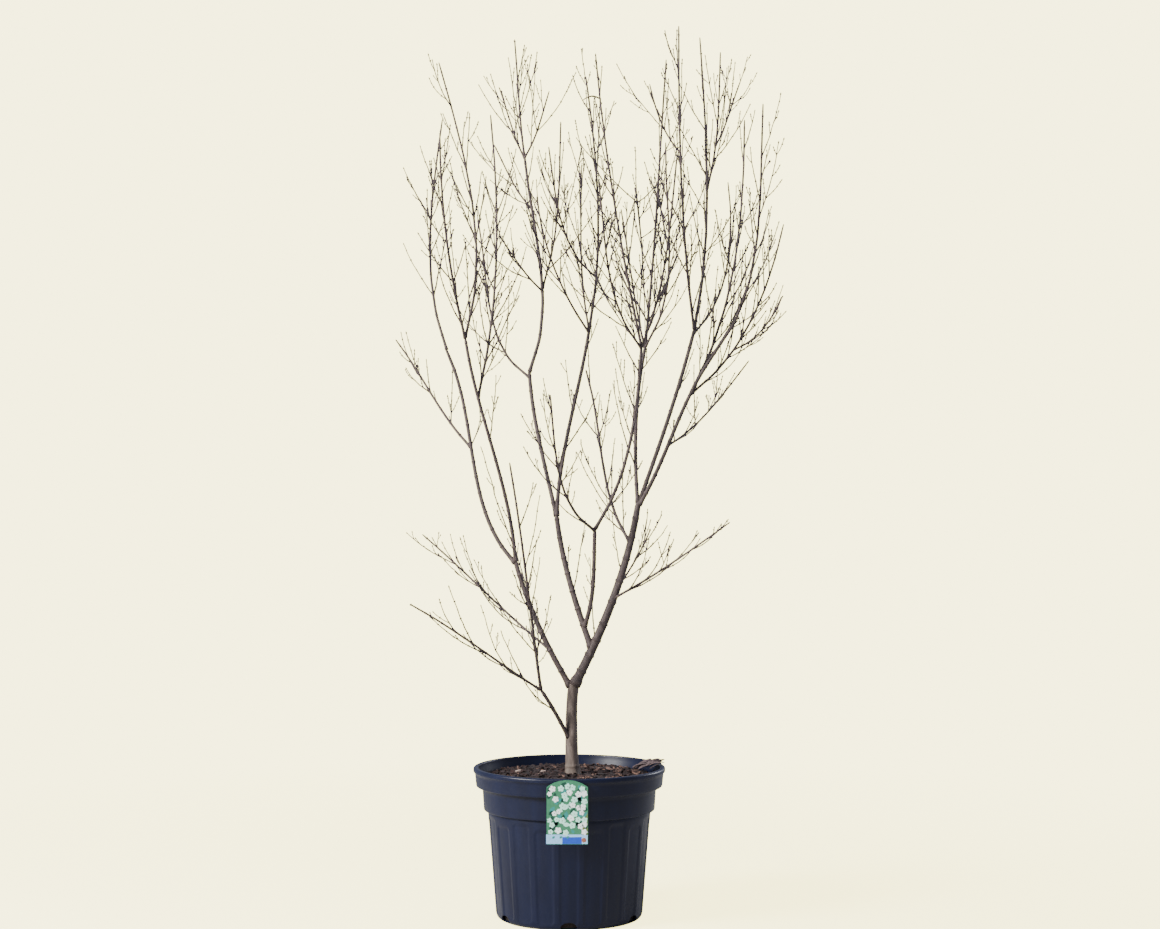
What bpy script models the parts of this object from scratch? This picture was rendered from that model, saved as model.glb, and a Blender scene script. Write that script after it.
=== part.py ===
"""A young flowering tree in winter: many slender upright limbs on a short trunk, in a fluted nursery pot.

Metres, +Z up, front towards -Y. The origin is the middle of the pot's flat underside.
"""

import math
from collections import namedtuple

import bmesh
import bpy
from mathutils import Vector

CM = 0.01
MM = 0.001
GAP = 0.3 * MM

# Pot: radii and heights of a 25 litre nursery container
POT_HEIGHT = 0.300
RIM_RADIUS = 0.191
RIM_WIDTH = 0.010
COLLAR_HEIGHT = 0.038
COLLAR_OVERHANG = 0.014
SHOULDER_HEIGHT = 0.047
SHOULDER_STEP = 0.008
WALL_FOOT_RADIUS = 0.1455
WALL_TAPER = 0.0775
WALL_THICKNESS = 0.003
FLOOR_THICKNESS = 0.004
PANELS = 20
PANEL_SIDES = 3
GROOVE_DEPTH = 0.002
NOTCHES = 6
NOTCH_WIDTH = 0.032
NOTCH_HEIGHT = 0.017

# Bark mulch that fills the pot, and the heap of curled bark on its right rim
MULCH_HEIGHT = 0.279
MULCH_CROWN = 0.005
TRUNK_FLAT_RADIUS = 0.040
MULCH_BEND_RADIUS = 0.110
MULCH_BEND_RISE = 0.003
HEAP_SIDES = 10
HEAP_UNEVEN = 0.12
HEAP_TWIST = 1.7

# The heap's middle line (across, depth, height) with its breadth and half height, in centimetres
HEAP = (
    ((12.4, 3.0, 28.6), 1.3, 0.7),
    ((13.8, 2.4, 29.4), 2.2, 1.25),
    ((15.6, 1.6, 29.9), 2.8, 1.5),
    ((17.2, 1.0, 31.0), 2.4, 0.75),
    ((18.5, 0.6, 31.2), 1.4, 0.5),
    ((19.2, 0.4, 30.9), 0.3, 0.15),
)

# Plant tag that hangs flat against the front of the collar
TAG_WIDTH = 0.079
TAG_HEIGHT = 0.1225
TAG_THICKNESS = 0.0010
TAG_TOP = 0.299
TAG_ARCH_RISE = 0.0135
TAG_CENTRE_X = -0.003
TAG_ARCH_STEPS = 10

# The widths and heights in the limb lists are read in the plane through the trunk, seen from a
# point this far in front of it. A limb that lies nearer or further keeps its place in that view.
VIEW_DISTANCE = 450.0
VIEW_SIDE = 2.1
VIEW_HEIGHT = 90.1

# Trunk, in centimetres: height, sideways place of its middle, and diameter
TRUNK = (
    (28.44, 0.7, 3.7),
    (29.0, 0.7, 2.9),
    (29.9, 0.6, 2.5),
    (31.5, 0.5, 2.35),
    (35.0, 0.45, 2.15),
    (39.0, 0.4, 2.05),
    (42.5, 0.5, 2.0),
    (45.2, 0.7, 2.2),
    (47.2, 1.0, 2.1),
)
TRUNK_SIDES = 12

# Each limb: the limb it leaves and the height where it does; its tip as width, depth and height;
# its lean from the vertical at the foot and at the tip, in degrees, towards +X where positive;
# and its thickness at the foot and at the tip, in millimetres. Widths and heights in centimetres.
Limb = namedtuple("Limb", "name parent foot tip lean_foot lean_tip thick_foot thick_tip")

LOW_LIMBS = (
    Limb("low_limb", "trunk", 34.8, (-5.9, -4, 45.6), -30, -36, 6.8, 5.4),
    Limb("low_far_shoot", "low_limb", 45.0, (-31.8, -12, 62.3), -58, -62, 4.0, 2.2),
    Limb("low_upright", "low_limb", 45.3, (-11.9, -18, 90.5), -8, -10, 4.8, 2.4),
)

LEFT_LIMBS = (
    Limb("stem_left", "trunk", 45.2, (-10.9, 1, 71.2), -33, -16, 10.5, 7.6),
    Limb("left_outer", "stem_left", 70.2, (-24.6, 9, 113.2), -46, -27, 6.8, 4.8),
    Limb("left_inner", "stem_left", 70.4, (-20.8, -9, 115.6), -3, -8, 6.2, 4.6),
    Limb("left_long_low", "stem_left", 53.2, (-29.3, 18, 76.2), -52, -50, 3.8, 2.0),
    Limb("left_far", "left_outer", 93.4, (-34.6, 18, 115.0), -45, -38, 4.6, 2.2),
    Limb("left_outer_top", "left_outer", 112.6, (-25.3, 15, 158.8), -22, 8, 4.4, 2.0),
    Limb("left_second_top", "left_inner", 115.0, (-25.8, -24, 156.0), -14, 0, 4.0, 2.0),
    Limb("left_inner_top", "left_inner", 115.2, (-26.0, -14, 170.2), 18, -16, 4.0, 1.8),
    Limb("left_mid_top", "left_inner", 103.4, (-15.7, -1, 159.8), 14, -6, 4.0, 2.0),
)

MID_LIMBS = (
    Limb("stem_right", "trunk", 46.2, (13.8, -1, 82.8), 28, 8, 17.0, 10.4),
    Limb("stem_mid", "stem_right", 53.2, (-2.6, 4, 80.3), -20, -6, 11.0, 8.4),
    Limb("stem_inner", "stem_mid", 57.6, (5.1, -4, 77.8), 22, 3, 7.4, 5.8),
    Limb("mid_left", "stem_mid", 79.4, (-8.0, 12, 108.9), -12, -3, 7.0, 6.2),
    Limb("mid_inner", "stem_mid", 79.6, (4.1, 8, 117.8), 1, 8, 6.6, 5.2),
    Limb("inner_left", "stem_inner", 76.9, (-3.8, -22, 104.0), -62, -6, 4.2, 2.2),
    Limb("inner_right", "stem_inner", 77.1, (14.4, -12, 114.2), 35, 3, 5.2, 4.4),
    Limb("right_inner", "stem_right", 74.3, (3.3, 18, 109.0), -35, -18, 5.0, 2.8),
    Limb("mid_left_upper", "mid_left", 108.4, (-9.0, 16, 152.0), 25, -5, 5.8, 4.0),
    Limb("mid_left_out", "mid_left", 107.4, (-18.2, 24, 139.0), -62, -12, 4.0, 2.0),
    Limb("mid_left_twig", "mid_left_upper", 124.6, (-14.1, 5, 135.8), -52, -38, 2.8, 1.8),
    Limb("mid_long", "mid_left_upper", 125.4, (-1.7, 22, 158.4), 20, 2, 3.4, 1.9),
    Limb("mid_left_side", "mid_left_upper", 141.0, (-15.0, 30, 153.8), -46, -28, 2.6, 1.8),
    Limb("mid_left_top", "mid_left_upper", 151.4, (-10.9, 14, 174.8), -8, -5, 3.2, 1.8),
    Limb("mid_left_fan", "mid_left_upper", 151.0, (-14.0, 22, 165.3), -28, -20, 2.6, 1.7),
    Limb("mid_right_fan", "mid_left_upper", 151.2, (-4.0, 9, 164.5), 34, 18, 2.6, 1.7),
    Limb("crown_left", "mid_inner", 116.4, (-6.5, 0, 143.5), -36, -6, 3.2, 1.9),
    Limb("crown_thin", "mid_inner", 116.8, (2.4, 17, 149.5), -12, 0, 3.0, 1.8),
    Limb("crown_main", "mid_inner", 117.2, (3.3, 6, 167.4), 11, -8, 4.6, 1.9),
    Limb("crown_left_long", "crown_main", 127.3, (-4.1, -12, 153.4), -56, -8, 2.8, 1.8),
)

RIGHT_LIMBS = (
    Limb("right_mid", "stem_right", 81.9, (15.3, 6, 114.4), -5, 12, 6.4, 5.2),
    Limb("right_outer", "stem_right", 82.0, (25.0, 10, 117.3), 20, 14, 7.0, 5.8),
    Limb("right_far", "stem_right", 81.4, (29.0, -8, 112.4), 32, 37, 6.6, 5.2),
    Limb("right_low_long", "stem_right", 63.4, (32.0, -16, 78.6), 62, 54, 3.8, 1.9),
    Limb("right_low_short", "stem_right", 65.2, (16.2, 12, 77.3), 34, 20, 3.0, 1.8),
    Limb("fan_left_long", "inner_right", 113.6, (5.2, -18, 172.0), -12, -5, 3.8, 1.8),
    Limb("fan_left_low", "inner_right", 113.2, (5.8, -30, 147.0), -42, -8, 3.2, 1.8),
    Limb("fan_right_front", "inner_right", 113.4, (21.5, -30, 152.0), 24, 6, 3.2, 1.8),
    Limb("fan_mid_main", "right_mid", 113.8, (19.3, 5, 170.8), 6, 4, 4.2, 1.8),
    Limb("fan_back_left", "right_mid", 113.2, (10.3, 23, 141.0), -14, -10, 3.0, 1.8),
    Limb("fan_mid_left", "right_mid", 113.5, (13.2, 14, 145.0), 0, -8, 3.0, 1.8),
    Limb("fan_right", "right_mid", 113.4, (19.2, -3, 154.3), 36, 2, 3.4, 1.8),
    Limb("right_outer_top", "right_outer", 116.8, (21.8, 2, 177.5), -8, 0, 4.4, 2.0),
    Limb("right_top_side", "right_outer_top", 152.2, (16.0, 14, 165.9), -44, -12, 2.4, 1.7),
    Limb("right_crown_main", "right_outer", 116.9, (26.0, 14, 175.2), 12, -4, 5.0, 1.9),
    Limb("right_crown_fork", "right_crown_main", 145.0, (30.1, 22, 172.3), 16, 2, 3.0, 1.8),
    Limb("right_crown_outer", "right_crown_fork", 153.6, (34.1, 30, 166.5), 30, 22, 2.4, 1.7),
    Limb("right_back", "right_outer", 116.0, (31.6, 25, 146.4), 48, -8, 3.4, 1.8),
    Limb("right_far_inner", "right_far", 104.6, (34.9, -2, 158.8), 30, 0, 5.0, 1.9),
    Limb("right_far_main", "right_far", 111.6, (38.6, -22, 162.0), 42, 3, 4.6, 1.9),
    Limb("right_far_low", "right_far", 104.0, (42.7, -4, 138.0), 56, 12, 4.0, 1.9),
    Limb("right_far_tip", "right_far_low", 113.0, (42.3, -18, 123.5), 72, 20, 2.4, 1.7),
    Limb("right_lowest", "right_far", 93.8, (35.8, 13, 110.8), 60, 38, 2.9, 1.7),
)

RINGS_THICK = 10
RINGS_THIN = 7
SIDES_THICK = 8
SIDES_THIN = 6
THICK_FROM = 6.0
FOOT_SHARE = 0.92
END_CLEARANCE = 1.4
CURVE_SAMPLES = 48
EARLY_SPREAD = 1.5
LATE_SPREAD = 0.5


def clear_scene():
    for obj in list(bpy.data.objects):
        bpy.data.objects.remove(obj, do_unlink=True)


def principled(name, colour, roughness):
    """A plain material of one colour."""
    material = bpy.data.materials.new(name)
    material.use_nodes = True
    shader = material.node_tree.nodes["Principled BSDF"]
    shader.inputs["Base Color"].default_value = (*colour, 1.0)
    shader.inputs["Roughness"].default_value = roughness
    shader.inputs["Metallic"].default_value = 0.0
    material.diffuse_color = (*colour, 1.0)
    return material


def add_object(name, mesh_data, material=None, smooth_angle=None):
    """A mesh object from a filled bmesh, with its faces turned outwards."""
    bmesh.ops.recalc_face_normals(mesh_data, faces=mesh_data.faces)
    mesh = bpy.data.meshes.new(name)
    mesh_data.to_mesh(mesh)
    mesh_data.free()
    if material:
        mesh.materials.append(material)
    if smooth_angle:
        mesh.shade_smooth()
        mesh.set_sharp_from_angle(angle=math.radians(smooth_angle))
    obj = bpy.data.objects.new(name, mesh)
    bpy.context.scene.collection.objects.link(obj)
    return obj


def hide_as_cutter(obj):
    obj.hide_render = True
    obj.display_type = "WIRE"


def cut(obj, cutter):
    modifier = obj.modifiers.new("cut_" + cutter.name, "BOOLEAN")
    modifier.operation = "DIFFERENCE"
    modifier.solver = "EXACT"
    modifier.object = cutter


def turned(name, profile, sides, material, radius_at=None):
    """A closed shape turned about Z. The profile runs from axis to axis as (radius, height)."""
    shape = bmesh.new()
    rings = []
    for radius, height in profile:
        if radius == 0:
            rings.append([shape.verts.new((0, 0, height))])
            continue
        ring = []
        for side in range(sides):
            angle = math.tau * side / sides
            reach = radius_at(radius, height, side) if radius_at else radius
            ring.append(shape.verts.new((reach * math.cos(angle), reach * math.sin(angle), height)))
        rings.append(ring)
    for lower, upper in zip(rings, rings[1:]):
        for side in range(sides):
            following = (side + 1) % sides
            corners = [lower[side % len(lower)], lower[following % len(lower)]]
            corners += [upper[following % len(upper)], upper[side % len(upper)]]
            shape.faces.new(list(dict.fromkeys(corners)))
    return add_object(name, shape, material, smooth_angle=35)


def wall_radius(height):
    """Outer radius of the plain wall, which widens steadily from the foot."""
    return WALL_FOOT_RADIUS + WALL_TAPER * height


COLLAR_FOOT = POT_HEIGHT - COLLAR_HEIGHT
SHOULDER_FOOT = COLLAR_FOOT - SHOULDER_HEIGHT
SHOULDER_TOP_RADIUS = RIM_RADIUS - COLLAR_OVERHANG - 0.004
SHOULDER_FOOT_RADIUS = wall_radius(SHOULDER_FOOT) + SHOULDER_STEP
FLUTE_FOOT = 0.020
FLUTE_TOP = SHOULDER_FOOT - 0.006
POT_SIDES = PANELS * PANEL_SIDES


def pot_inner_profile(inset=0.0):
    """The inside of the pot from the floor to the rim, drawn in by inset."""
    thick = WALL_THICKNESS + GROOVE_DEPTH
    return [
        (wall_radius(0) - thick - 0.004 - inset, FLOOR_THICKNESS + inset),
        (wall_radius(0.010) - thick - inset, 0.010),
        (wall_radius(SHOULDER_FOOT) - thick - inset, SHOULDER_FOOT - 0.002),
        (SHOULDER_FOOT_RADIUS - WALL_THICKNESS - inset, SHOULDER_FOOT + 0.002),
        (SHOULDER_TOP_RADIUS - WALL_THICKNESS - inset, COLLAR_FOOT),
        (RIM_RADIUS - RIM_WIDTH - inset, POT_HEIGHT - 0.002),
    ]


def make_pot(material):
    """Tapered wall of grooved panels, a shoulder, an overhanging collar and six drain notches."""

    def with_grooves(radius, height, side):
        grooved = FLUTE_FOOT <= height <= FLUTE_TOP and radius >= wall_radius(height)
        return radius - GROOVE_DEPTH if grooved and side % PANEL_SIDES == 0 else radius

    outside = [
        (0, 0),
        (wall_radius(0) - 0.013, 0),
        (wall_radius(0) - 0.005, 0.003),
        (wall_radius(0.010), 0.012),
        (wall_radius(FLUTE_FOOT), FLUTE_FOOT),
        (wall_radius(FLUTE_TOP), FLUTE_TOP),
        (wall_radius(SHOULDER_FOOT), SHOULDER_FOOT - 0.002),
        (SHOULDER_FOOT_RADIUS, SHOULDER_FOOT + 0.003),
        (SHOULDER_TOP_RADIUS, COLLAR_FOOT),
        (RIM_RADIUS - 0.006, COLLAR_FOOT),
        (RIM_RADIUS - 0.003, COLLAR_FOOT + 0.004),
        (RIM_RADIUS - 0.002, POT_HEIGHT - 0.008),
        (RIM_RADIUS, POT_HEIGHT - 0.006),
        (RIM_RADIUS, POT_HEIGHT - 0.002),
        (RIM_RADIUS - 0.002, POT_HEIGHT),
        (RIM_RADIUS - RIM_WIDTH + 0.001, POT_HEIGHT),
    ]
    inside = pot_inner_profile()[::-1]
    pot = turned("pot", outside + inside + [(0, FLOOR_THICKNESS)], POT_SIDES, material, with_grooves)
    cut(pot, make_notch_cutter())
    return pot


def make_notch_cutter():
    """Six arched blocks round the foot of the wall, from below the floor."""
    shape = bmesh.new()
    half = NOTCH_WIDTH / 2
    shoulder = NOTCH_HEIGHT - 0.005
    outline = ((-half, -0.01), (half, -0.01), (half, shoulder), (half - 0.006, NOTCH_HEIGHT))
    outline += ((0.006 - half, NOTCH_HEIGHT), (-half, shoulder))
    inner = wall_radius(0) - 0.010
    outer = wall_radius(0) + 0.020
    for notch in range(NOTCHES):
        angle = math.tau * notch / NOTCHES - math.pi / 2
        out = Vector((math.cos(angle), math.sin(angle), 0))
        along = Vector((-out.y, out.x, 0))
        ends = []
        for reach in (inner, outer):
            corners = [out * reach + along * wide + Vector((0, 0, high)) for wide, high in outline]
            ends.append([shape.verts.new(corner) for corner in corners])
        for corner in range(len(outline)):
            following = (corner + 1) % len(outline)
            shape.faces.new((ends[0][corner], ends[0][following], ends[1][following], ends[1][corner]))
        shape.faces.new(ends[0])
        shape.faces.new(ends[1])
    cutter = add_object("notch_cutter", shape)
    hide_as_cutter(cutter)
    return cutter


def mulch_surface():
    """The top of the mulch from the pot's wall in to the axis, flat where the trunk stands."""
    low, high = pot_inner_profile(inset=GAP)[-2:]
    share = (MULCH_HEIGHT - low[1]) / (high[1] - low[1])
    edge = (low[0] + share * (high[0] - low[0]), MULCH_HEIGHT)
    crown = MULCH_HEIGHT + MULCH_CROWN
    return [edge, (MULCH_BEND_RADIUS, MULCH_HEIGHT + MULCH_BEND_RISE), (TRUNK_FLAT_RADIUS, crown), (0, crown)]


def mulch_height_at(radius):
    surface = mulch_surface()
    for outer, inner in zip(surface, surface[1:]):
        if radius >= inner[0]:
            share = min((radius - inner[0]) / (outer[0] - inner[0]), 1)
            return inner[1] + share * (outer[1] - inner[1])
    return surface[-1][1]


def make_soil(material):
    """The mulch fills the pot a little short of its rim."""
    profile = [(0, FLOOR_THICKNESS + GAP)] + pot_inner_profile(inset=GAP)[:-1] + mulch_surface()
    return turned("soil", profile, POT_SIDES, material)


def make_tag(material):
    """A card with an arched top, hanging a hair in front of the collar."""
    half = TAG_WIDTH / 2
    arch_radius = (half**2 + TAG_ARCH_RISE**2) / (2 * TAG_ARCH_RISE)
    half_angle = math.asin(half / arch_radius)
    outline = [(-half, TAG_TOP - TAG_HEIGHT), (half, TAG_TOP - TAG_HEIGHT)]
    for step in range(TAG_ARCH_STEPS + 1):
        angle = half_angle * (1 - 2 * step / TAG_ARCH_STEPS)
        rise = arch_radius * (math.cos(angle) - 1)
        outline.append((arch_radius * math.sin(angle), TAG_TOP + rise))
    shape = bmesh.new()
    back = -RIM_RADIUS - GAP
    sheet = [shape.verts.new((TAG_CENTRE_X + x, back, z)) for x, z in outline]
    face = shape.faces.new(sheet)
    moved = bmesh.ops.extrude_face_region(shape, geom=[face])["geom"]
    front = [item for item in moved if isinstance(item, bmesh.types.BMVert)]
    bmesh.ops.translate(shape, vec=(0, -TAG_THICKNESS, 0), verts=front)
    return add_object("tag", shape, material)


def make_heap(material):
    """A curled flake of bark that leans from the mulch over the right rim."""
    shape = bmesh.new()
    rings = []
    for index, (place, breadth, height) in enumerate(HEAP):
        ring = []
        for side in range(HEAP_SIDES):
            angle = math.tau * side / HEAP_SIDES
            uneven = 1 + HEAP_UNEVEN * math.sin(3 * angle + HEAP_TWIST * index)
            across = breadth * uneven * math.cos(angle)
            up = height * uneven * math.sin(angle)
            point = Vector((place[0], place[1] + across, place[2] + up)) * CM
            point.z = max(point.z, mulch_height_at(math.hypot(point.x, point.y)) + GAP)
            ring.append(shape.verts.new(point))
        rings.append(ring)
    join_rings(shape, rings)
    return add_object("bark_heap", shape, material, smooth_angle=50)


def join_rings(shape, rings):
    """A tube through rings of equal count, closed at both ends."""
    count = len(rings[0])
    for lower, upper in zip(rings, rings[1:]):
        for side in range(count):
            following = (side + 1) % count
            shape.faces.new((lower[side], lower[following], upper[following], upper[side]))
    for end in (rings[0], rings[-1]):
        shape.faces.new(end)


def in_view_plane_to_real(point):
    """Real metres for a (width, depth, height) in centimetres that was read in the trunk's plane."""
    width, depth, height = point
    scale = (VIEW_DISTANCE + depth) / VIEW_DISTANCE
    real_x = VIEW_SIDE + (width - VIEW_SIDE) * scale
    real_z = VIEW_HEIGHT + (height - VIEW_HEIGHT) * scale
    return Vector((real_x, depth, real_z)) * CM


class Course:
    """A limb's middle line and radius, sampled from foot (share 0) to tip (share 1)."""

    def __init__(self, read_points, radii, sides):
        self.read_points = read_points
        self.points = [in_view_plane_to_real(point) for point in read_points]
        self.radii = radii
        self.sides = sides

    def share_at_height(self, height):
        """The share of the course where it first reaches a height, as read in the trunk's plane."""
        last = len(self.read_points) - 1
        for index in range(last):
            low, high = self.read_points[index].z, self.read_points[index + 1].z
            if low <= height <= high:
                return (index + (height - low) / (high - low)) / last
        return 1.0

    def blend(self, values, share):
        place = min(max(share, 0.0), 1.0) * (len(values) - 1)
        index = min(int(place), len(values) - 2)
        part = place - index
        return values[index] * (1 - part) + values[index + 1] * part

    def share_clear_of_end(self, share):
        """Keeps a side limb's foot inside this limb, a little below its end."""
        clearance = END_CLEARANCE * self.radii[-1]
        length = (self.points[-1] - self.points[-2]).length * (len(self.points) - 1)
        return min(share, 1 - clearance / length)


def pull_of(strength, lean, depth):
    """The pull on one end of a limb's curve, for a lean from the vertical in degrees."""
    return Vector((strength * math.sin(math.radians(lean)), depth, strength * math.cos(math.radians(lean))))


def course_of(limb, parent):
    """A cubic curve from inside the parent to the tip, with the stated leans at its ends."""
    share = parent.share_clear_of_end(parent.share_at_height(limb.foot))
    foot = parent.blend(parent.read_points, share)
    tip = Vector(limb.tip)
    reach = tip - foot
    chord = math.hypot(reach.x, reach.z)
    leave = pull_of(chord, limb.lean_foot, EARLY_SPREAD * reach.y)
    arrive = pull_of(chord, limb.lean_tip, LATE_SPREAD * reach.y)
    points = []
    for step in range(CURVE_SAMPLES + 1):
        t = step / CURVE_SAMPLES
        point = foot * (2 * t**3 - 3 * t**2 + 1) + leave * (t**3 - 2 * t**2 + t)
        points.append(point + tip * (3 * t**2 - 2 * t**3) + arrive * (t**3 - t**2))
    most = FOOT_SHARE * parent.blend(parent.radii, share)
    foot_radius = min(limb.thick_foot / 2 * MM, most)
    tip_radius = limb.thick_tip / 2 * MM
    radii = [foot_radius + (tip_radius - foot_radius) * i / CURVE_SAMPLES for i in range(CURVE_SAMPLES + 1)]
    return Course(points, radii, SIDES_THICK if limb.thick_foot >= THICK_FROM else SIDES_THIN)


def trunk_course():
    points = [Vector((middle, 0, height)) for height, middle, _ in TRUNK]
    return Course(points, [width / 2 * CM for _, _, width in TRUNK], TRUNK_SIDES)


def tube(course, ring_count, grow=0.0, level_foot=False):
    """A closed tapering tube along a course. With grow, it stands that far proud all over."""
    shape = bmesh.new()
    rings = []
    across = Vector((0, 1, 0))
    swell = grow / math.cos(math.pi / course.sides)
    for index in range(ring_count):
        share = index / (ring_count - 1)
        before = course.blend(course.points, share - 0.01)
        after = course.blend(course.points, share + 0.01)
        along = Vector((0, 0, 1)) if level_foot and index == 0 else (after - before).normalized()
        middle = course.blend(course.points, share)
        if grow and index in (0, ring_count - 1):
            middle = middle + along * (grow if index else -grow)
        across = (across - along * across.dot(along)).normalized()
        beside = along.cross(across)
        radius = course.blend(course.radii, share) + swell
        ring = []
        for side in range(course.sides):
            angle = math.tau * (side + 0.5) / course.sides
            offset = across * math.cos(angle) + beside * math.sin(angle)
            ring.append(shape.verts.new(middle + offset * radius))
        rings.append(ring)
    join_rings(shape, rings)
    return shape


def courses_touch(one, other):
    """Whether two limbs come nearer than their radii and the gap allow."""
    for point, radius in zip(one.points, one.radii):
        for other_point, other_radius in zip(other.points, other.radii):
            if (point - other_point).length < radius + other_radius + 2 * GAP:
                return True
    return False


def ring_count_of(course):
    return RINGS_THICK if course.sides > SIDES_THIN else RINGS_THIN


def make_plant(material):
    """The trunk and every limb. A limb's foot is cut to sit on whatever it would run into."""
    courses = {"trunk": trunk_course()}
    cutters = {}
    trunk = tube(courses["trunk"], len(TRUNK), level_foot=True)
    add_object("trunk", trunk, material, smooth_angle=60)
    for limb in LOW_LIMBS + LEFT_LIMBS + MID_LIMBS + RIGHT_LIMBS:
        course = course_of(limb, courses[limb.parent])
        obj = add_object(limb.name, tube(course, ring_count_of(course)), material, smooth_angle=60)
        for name, other in courses.items():
            if not courses_touch(course, other):
                continue
            if name not in cutters:
                rings = len(TRUNK) if name == "trunk" else ring_count_of(other)
                cutters[name] = add_object(name + "_clearance", tube(other, rings, grow=GAP))
                hide_as_cutter(cutters[name])
            cut(obj, cutters[name])
        courses[limb.name] = course


def main():
    clear_scene()
    make_pot(principled("navy_plastic", (0.020, 0.026, 0.060), 0.42))
    make_soil(principled("bark_mulch", (0.070, 0.035, 0.026), 0.9))
    make_tag(principled("printed_card", (0.66, 0.80, 0.72), 0.35))
    make_heap(principled("curled_bark", (0.150, 0.105, 0.100), 0.85))
    make_plant(principled("young_bark", (0.130, 0.085, 0.075), 0.7))


main()
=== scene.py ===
"""The looks of a young flowering tree in winter, bare, in a fluted nursery pot.

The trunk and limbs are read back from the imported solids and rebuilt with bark. Twigs and buds grow on
from them by a seeded rule. Metres, +Z up, front towards -Y.
"""

import itertools
import math

import bpy
import numpy as np
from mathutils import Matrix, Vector
from mathutils.bvhtree import BVHTree


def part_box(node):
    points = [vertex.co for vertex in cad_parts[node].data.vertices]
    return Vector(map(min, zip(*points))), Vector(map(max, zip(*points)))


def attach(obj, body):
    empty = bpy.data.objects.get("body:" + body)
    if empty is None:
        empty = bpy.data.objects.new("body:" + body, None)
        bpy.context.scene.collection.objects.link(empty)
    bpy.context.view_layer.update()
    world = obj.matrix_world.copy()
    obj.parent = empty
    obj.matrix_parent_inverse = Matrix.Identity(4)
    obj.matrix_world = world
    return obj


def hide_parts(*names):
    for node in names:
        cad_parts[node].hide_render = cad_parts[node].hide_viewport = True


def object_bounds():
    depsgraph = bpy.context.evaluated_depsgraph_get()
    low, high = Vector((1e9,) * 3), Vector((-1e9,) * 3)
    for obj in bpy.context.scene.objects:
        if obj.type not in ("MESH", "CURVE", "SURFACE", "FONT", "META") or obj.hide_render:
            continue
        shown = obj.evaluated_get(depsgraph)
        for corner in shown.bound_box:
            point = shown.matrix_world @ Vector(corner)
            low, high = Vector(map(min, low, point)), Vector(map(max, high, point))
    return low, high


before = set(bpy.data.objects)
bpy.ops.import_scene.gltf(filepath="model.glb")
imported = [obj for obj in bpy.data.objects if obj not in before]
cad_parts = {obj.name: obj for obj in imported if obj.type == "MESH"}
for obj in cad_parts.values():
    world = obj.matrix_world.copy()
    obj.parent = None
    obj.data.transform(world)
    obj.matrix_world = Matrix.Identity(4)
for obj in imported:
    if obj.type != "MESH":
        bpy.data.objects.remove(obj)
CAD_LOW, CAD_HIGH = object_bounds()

MM = 0.001
UP = np.array((0.0, 0.0, 1.0))
SEED = 41
MOST_TRIANGLES = 180000
NOT_LIMBS = ("trunk", "pot", "soil", "tag", "bark_heap")

# Camera and light
CAMERA_AT = (0.0213, -4.5, 0.901)
CAMERA_LENS = 70.1
CAMERA_SENSOR = 36
BACKDROP = (6.0, 5.5, 2.7)
AMBIENT = (0.39, 0.42, 0.54)
FLOOR = (0.50, 0.48, 0.42)
FLOOR_GLOW = (4.75, 4.30, 1.65)
FLOOR_RADIUS = 2.4
FLOOR_FADE_FROM = 0.35

# Reading the limbs back from their solids
PROBES = 8
WALK_SHARE = 1.4
MOST_STEPS = 2000
FACET_ALLOWANCE = 1.07
BARK_DEPTH = 0.65 * MM
BARK_SHARE = 1.08
LINE_GAP = 3 * MM
SMOOTHINGS = 40

# Limbs
LIMB_RING_GAP = 3.0 * MM
LIMB_SIDES = 16
THIN_LIMB_SIDES = 10
THICK_RADIUS = 4 * MM
LIMB_UNEVEN = 0.008
LIMB_SUNK = 1.2
TIP_RINGS = (0.7, 0.45, 0.25, 0.1, 0.0)
NODE_SWELL = 0.22
NODE_WIDTH = 1.6 * MM
COLLAR_SWELL = 0.30
COLLAR_LENGTH = 5 * MM
TIP_NARROWING = 0.40
TIP_LENGTH = 7 * MM

# Trunk
TRUNK_RING_GAP = 1.0 * MM
TRUNK_SIDES = 80
TRUNK_UNEVEN = 0.014
FURROW_DEPTH = 0.05 * MM
ROOTS = 5
ROOT_FLARE = 3.0 * MM
ROOT_FLARE_HEIGHT = 7 * MM
FOOT_SPREAD = 1.8 * MM
FOOT_SPREAD_HEIGHT = 60 * MM
KNOT_AT = 17 * MM
KNOT_HEIGHT = 1.1 * MM
KNOT_WIDTH = 3 * MM
LENTICELS = 170
LENTICEL_HEIGHT = 0.22 * MM
LENTICEL_LENGTH = 0.7 * MM
LENTICEL_SPREAD = 0.10

# Shoots: for each order the node spacing in mm, the chance that a bud has grown out, the length in mm
# of the shoot that then leaves, its thickness in mm at the foot, and the lean from its parent in degrees
ORDERS = (
    {"gap": (30, 48), "chance": 0.66, "length": (60, 190), "thick": (2.5, 3.2), "lean": (20, 38)},
    {"gap": (16, 27), "chance": 0.26, "length": (12, 50), "thick": (1.9, 2.3), "lean": (22, 40)},
    {"gap": (8, 12), "chance": 0.06, "length": (6, 12), "thick": (1.6, 1.8), "lean": (30, 46)},
)
BARE_RADIUS = 3.1 * MM
SPARSE_CHANCE = 0.12
BARE_TIP_SHARE = 0.34
END_ROOM = 3 * MM
PAIR_WOBBLE = 0.12
SIDEWAYS = (math.cos(0.7), math.sin(0.7), 0.2)
FOOT_LENGTH = 1.15
TIP_SHORTENING = 0.6
LEAST_LENGTH = 4 * MM
SHORTENING = 0.7
UPTURN = (0.30, 0.65)
UPTURN_POWER = 0.8
LEAST_RISE = 0.35
SHOOT_STEPS = 14
SHOOT_GAP = 2 * MM
SHOOT_WOBBLE = 0.045
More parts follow.
